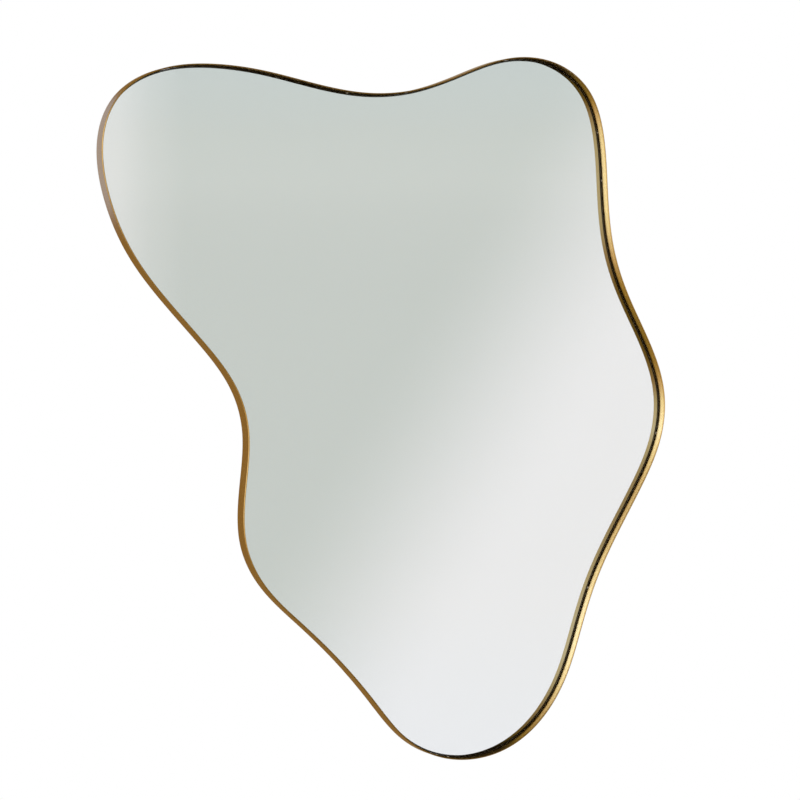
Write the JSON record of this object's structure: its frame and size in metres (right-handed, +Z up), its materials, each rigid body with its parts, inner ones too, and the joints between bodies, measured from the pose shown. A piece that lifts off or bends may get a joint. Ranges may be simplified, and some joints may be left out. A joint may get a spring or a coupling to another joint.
{
  "type": "irregular wall mirror",
  "caption": "Irregular, softly lobed wall mirror: glass set back in a thin brass-coloured strip bent round the outline, with a backing board, hanging bar and hinged hanging rings.",
  "frame": {"origin": "on the wall plane, halfway between the points where the wall hooks carry the turned-up hanging rings", "axes": "+Z up, +X to the right seen from the front, +Y into the wall: the mirror faces -Y and its bumpers rest on the plane Y = 0"},
  "size_m": [0.8557, 0.031, 0.9999],
  "materials": {
    "brass_strip": "brushed, satin lacquer",
    "glass": "clear float glass, polished, edges ground",
    "silvering": "silver with grey safety film behind",
    "foam_tape": "closed-cell foam",
    "board": "fibreboard with black facing",
    "spacer": "matt, natural",
    "bare_steel": "zinc plated",
    "bumper": "matt"
  },
  "bodies": {
    "mirror": {"frame_band": "brass_strip", "mirror_glass": "glass", "mirror_silvering": "silvering", "mounting_tape": "foam_tape", "backboard": "board", "edge_spacers": "spacer", "frame_lugs": "brass_strip", "lug_screws": "bare_steel", "hanging_bar": "brass_strip", "hanger_strap_left": "bare_steel", "hanger_strap_right": "bare_steel", "hanger_rivets": "bare_steel", "wall_bumpers": "bumper"},
    "ring_left": {"hanger_ring_left": "bare_steel"},
    "ring_right": {"hanger_ring_right": "bare_steel"}
  },
  "joints": [
    {"name": "ring_left_swing", "type": "hinge", "parent": "mirror", "child": "ring_left", "pos_m": [-0.2, -0.0037, -0.01575], "axis": [1, 0, 0], "range_deg": [0, 182]},
    {"name": "ring_right_swing", "type": "hinge", "parent": "mirror", "child": "ring_right", "pos_m": [0.2, -0.0037, -0.01575], "axis": [1, 0, 0], "range_deg": [0, 182]}
  ]
}
